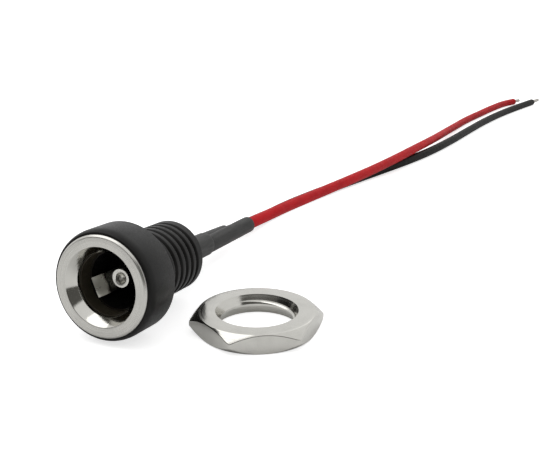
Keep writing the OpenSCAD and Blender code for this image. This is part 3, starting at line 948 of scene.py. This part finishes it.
def strip(line, width, thickness, edge):
    """Sheet bent along a line of (x, depth) points: an even outline, drawn out in Z."""
    points = [Vector(point) for point in line]
    sides = []
    for index, point in enumerate(points):
        before = points[max(index - 1, 0)]
        after = points[min(index + 1, len(points) - 1)]
        along = (after - before).normalized()
        sides.append(Vector((along.y, -along.x)) * thickness / 2)
    outline = ([p + side for p, side in zip(points, sides)]
               + [p - side for p, side in zip(reversed(points), reversed(sides))])
    bm = bmesh.new()
    verts = [bm.verts.new((p.x * MM, p.y * MM, -width / 2 * MM)) for p in outline]
    sheet = bm.faces.new(verts)
    drawn = bmesh.ops.extrude_face_region(bm, geom=[sheet], use_keep_orig=True)
    bmesh.ops.translate(bm, verts=corners_of(drawn), vec=(0, 0, width * MM))
    bmesh.ops.recalc_face_normals(bm, faces=bm.faces)
    broken_edges(bm, edge, over=50)
    return bm


bm = strip(eased(leaf_line, 0.25, closed=False), LEAF_W, LEAF_T, 0.06)
joined(bm, strip(tab_line, TAB_W, LEAF_T, 0.03))
finished("spring_leaf", bm, leaf_plate, ["spring_contact"], LEAF_PLACE, angle=30)

# %% The lug, the solder and the disc keep their solids
for node, finish in (("centre_lug", leaf_plate), ("centre_solder", solder_metal),
                     ("tab_solder", solder_metal), ("contact_carrier", carrier_black)):
    solid = frame["nodes"][node]
    solid.data.materials.clear()
    solid.data.materials.append(finish)
    print(f"{node}: keeps its solid, with the finish {finish.name}")

# %% [markdown]
# ## The loose nut
#
# A thin hexagon nut, turned from bar: both faces are chamfered at the corners and countersunk at
# the hole, and the hole is threaded to suit the barrel. The skin starts from a circle of 96
# points, whose rings are drawn out onto the hexagon. The flat face ends in a circle just inside
# the hexagon's sides: if the circle touched them, the skin would not be manifold there, and the
# boolean that cuts the countersinks would fail. The thread inside is wound as the barrel's is.

# %% The nut
NUT = mounts["nut_thread"]
nut_low, nut_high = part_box("mounting_nut")
NUT_T = (nut_high.z - nut_low.z) / MM
NUT_FLAT_R = 6.0
NUT_FACE_R = 5.92
NUT_TURN = 1.5
NUT_SLOPE = math.tan(math.radians(40))
NUT_BORE_R = NUT["dims"]["r_mm"]
NUT_SINK_R = NUT_BORE_R + 0.6
NUT_RING_R = NUT_SINK_R + 0.5
NUT_THREAD_TURNS = 6
NUT_PLACE = (Matrix.Translation((NUT["pos_m"][0], NUT["pos_m"][1], nut_low.z))
             @ Matrix.Rotation(math.radians(90), 4, "X"))
NUT_THREAD_R = CREST_R + 0.05


def hexagon_r(angle):
    """Distance from the middle to the hexagon's side, in the direction of an angle in degrees."""
    return NUT_FLAT_R / math.cos(math.radians((angle - NUT_TURN + 30) % 60 - 30))


def corner_drop(radius):
    """How far the corner chamfer has dropped below the face at a radius."""
    return (radius - NUT_FACE_R) * NUT_SLOPE


def drawn_to(bm, edges, radius_at, depth_at):
    """Draws a ring of open edges out to a new radius and depth, and returns the new ring."""
    drawn = bmesh.ops.extrude_edge_only(bm, edges=edges)
    for vert in corners_of(drawn):
        turn = math.atan2(-vert.co.z, vert.co.x)
        radius = radius_at(math.degrees(turn))
        place = (radius * math.cos(turn), depth_at(radius), -radius * math.sin(turn))
        vert.co = Vector(place) * MM
    return [item for item in drawn["geom"]
            if isinstance(item, bmesh.types.BMEdge) and item.is_boundary]


bm = bmesh.new()
first_corner = Matrix.Rotation(-math.radians(NUT_TURN + 30), 4, "Y")
upright = Matrix.Translation((0, NUT_T * MM, 0)) @ first_corner @ Matrix.Rotation(
    math.radians(90), 4, "X")
bmesh.ops.create_circle(bm, cap_ends=False, segments=ROUND_STEPS, radius=NUT_RING_R * MM,
                        matrix=upright)
skin = bm.edges[:]
for radius_at, depth_at in (
        (lambda angle: NUT_FACE_R, lambda radius: NUT_T),
        (hexagon_r, lambda radius: NUT_T - corner_drop(radius)),
        (hexagon_r, corner_drop),
        (lambda angle: NUT_FACE_R, lambda radius: 0),
        (lambda angle: NUT_RING_R, lambda radius: 0)):
    skin = drawn_to(bm, skin, radius_at, depth_at)
print("nut's skin:", len(bm.faces), "faces")
bmesh.ops.remove_doubles(bm, verts=bm.verts, dist=SAME_PLACE)
bmesh.ops.recalc_face_normals(bm, faces=bm.faces)
broken_edges(bm, 0.06, over=45, segments=3)
broken_edges(bm, 0.03, over=30)

thread = bmesh.new()
wound(thread, [(r, d - 2 * PITCH) for r, d in helix_outline(NUT_BORE_R, NUT_THREAD_R, sign=-1)],
      PITCH, NUT_THREAD_TURNS)
cut_across(thread, NUT_T, keep_front=True)
cut_across(thread, 0, keep_front=False)
joined(bm, thread)
for depth in (0, NUT_T):
    filled_between(bm, rim_at(bm, depth, 0, NUT_SINK_R), rim_at(bm, depth, NUT_SINK_R + 0.3))
print("open edges left on the nut:", sum(edge.is_boundary for edge in bm.edges))
nut_nickel = turned_nickel("nut_nickel", NUT_PLACE, 0.002, 0.17)
mounting_nut = finished("hexagon_nut", bm, nut_nickel, ["mounting_nut"], NUT_PLACE,
                        angle=20)

# %% [markdown]
# ## The countersinks
#
# A countersink cuts through the thread, so it can't be part of the wound outline. One turned
# cutter, a cone at each end and a short cylinder between them, takes both out at once by the same
# boolean as above. It runs past the faces, because faces that coincide confuse a boolean. Its
# cylinder also trims the thread's crests to one radius. Afterwards the sharp edges are marked
# again.

# %% The countersinks
NUT_CREST_R = 3.70
SINK_DEPTH = 0.92
PAST = 0.3
sink_wider = PAST * (NUT_SINK_R - NUT_CREST_R) / SINK_DEPTH
sink = [(0, -PAST), (NUT_SINK_R + sink_wider, -PAST), (NUT_CREST_R, SINK_DEPTH),
        (NUT_CREST_R, NUT_T - SINK_DEPTH), (NUT_SINK_R + sink_wider, NUT_T + PAST),
        (0, NUT_T + PAST)]
bm = bmesh.new()
turned(bm, sink, steps=128, closed=False)
carved(mounting_nut, bm, NUT_PLACE)
mounting_nut.data.set_sharp_from_angle(angle=math.radians(20))

# %% [markdown]
# ## Floor, light and backdrop
#
# The set lies on a pale floor, which keeps the soft shadow of the object. It glows for the
# camera, so that it meets the white backdrop without a border, and far less for polished metal.

# %% The floor
CAMERA_GLOW = 0.70
METAL_GLOW = 0.08


def white_floor():
    """Pale floor that keeps its shadow and glows: strongly for the camera, faintly for metal."""
    material = bpy.data.materials.new("white_floor")
    material.use_nodes = True
    nodes = material.node_tree.nodes
    links = material.node_tree.links
    shader = nodes["Principled BSDF"]
    shader.inputs["Base Color"].default_value = (0.8, 0.8, 0.8, 1)
    shader.inputs["Roughness"].default_value = 0.9
    shader.inputs["Specular IOR Level"].default_value = 0.1
    rays = nodes.new("ShaderNodeLightPath")
    glows = []
    for kind, strength in (("Is Camera Ray", CAMERA_GLOW), ("Is Glossy Ray", METAL_GLOW)):
        glow = nodes.new("ShaderNodeMath")
        glow.operation = "MULTIPLY"
        glow.inputs[1].default_value = strength
        links.new(rays.outputs[kind], glow.inputs[0])
        glows.append(glow)
    seen = nodes.new("ShaderNodeMath")
    seen.operation = "MAXIMUM"
    for glow, socket in zip(glows, seen.inputs):
        links.new(glow.outputs["Value"], socket)
    shader.inputs["Emission Color"].default_value = (1, 1, 1, 1)
    links.new(seen.outputs["Value"], shader.inputs["Emission Strength"])
    return material


bm = bmesh.new()
bmesh.ops.create_grid(bm, x_segments=8, y_segments=8, size=1.5)
floor_mesh = bpy.data.meshes.new("floor")
bm.to_mesh(floor_mesh)
bm.free()
floor = bpy.data.objects.new("floor", floor_mesh)
floor_mesh.materials.append(white_floor())
scene.collection.objects.link(floor)

# %% [markdown]
# ## The studio round it
#
# Polished metal shows the room, so the room needs a form. This one is a white tent with a dark
# wall low on the near side, where the room behind the lens would be. The wall gives the funnel
# its one dark wedge and the black moulding its depth. The world is drawn by direction: z is the
# height above the horizon, and y runs away from the lens.

# %% World
TENT = 0.86
WALL = 0.10
world = bpy.data.worlds.new("studio")
scene.world = world
world.use_nodes = True
sky_nodes = world.node_tree.nodes
sky_links = world.node_tree.links
background = sky_nodes["Background"]
direction = sky_nodes.new("ShaderNodeTexCoord")
parts = sky_nodes.new("ShaderNodeSeparateXYZ")
sky_links.new(direction.outputs["Generated"], parts.inputs["Vector"])


def from_one_to_none(output, one_at, none_at):
    """1 on one side of a soft border in the sky, 0 on the other."""
    border = sky_nodes.new("ShaderNodeMapRange")
    border.interpolation_type = "SMOOTHSTEP"
    border.inputs["From Min"].default_value = one_at
    border.inputs["From Max"].default_value = none_at
    border.inputs["To Min"].default_value = 1
    border.inputs["To Max"].default_value = 0
    sky_links.new(output, border.inputs["Value"])
    return border.outputs["Result"]


def both(first, second):
    """The product of two masks."""
    product = sky_nodes.new("ShaderNodeMath")
    product.operation = "MULTIPLY"
    sky_links.new(first, product.inputs[0])
    sky_links.new(second, product.inputs[1])
    return product.outputs["Value"]


near_side = from_one_to_none(parts.outputs["Y"], -0.24, -0.16)
low = from_one_to_none(parts.outputs["Z"], 0.60, 0.70)
on_wall = both(near_side, low)
room = sky_nodes.new("ShaderNodeMix")
room.data_type = "RGBA"
room.inputs["A"].default_value = (TENT, TENT, TENT, 1)
room.inputs["B"].default_value = (WALL, WALL * 0.98, WALL * 0.92, 1)
sky_links.new(on_wall, room.inputs["Factor"])
rays = sky_nodes.new("ShaderNodeLightPath")
pick = sky_nodes.new("ShaderNodeMix")
pick.data_type = "RGBA"
sky_links.new(rays.outputs["Is Camera Ray"], pick.inputs["Factor"])
sky_links.new(room.outputs["Result"], pick.inputs["A"])
pick.inputs["B"].default_value = (1, 1, 1, 1)
sky_links.new(pick.outputs["Result"], background.inputs["Color"])

# %% Lamps
MIDDLE = Vector((0, 10, 3)) * MM


def softbox(name, place, size, power):
    """A square area lamp that points at the set."""
    data = bpy.data.lights.new(name, "AREA")
    data.shape = "SQUARE"
    data.size = size * MM
    data.energy = power
    lamp = bpy.data.objects.new(name, data)
    lamp.location = Vector(place) * MM
    lamp.rotation_euler = (MIDDLE - lamp.location).to_track_quat("-Z", "Y").to_euler()
    scene.collection.objects.link(lamp)


softbox("key", (-150, -40, 340), 300, 0.26)
softbox("back", (40, 300, 300), 260, 0.10)
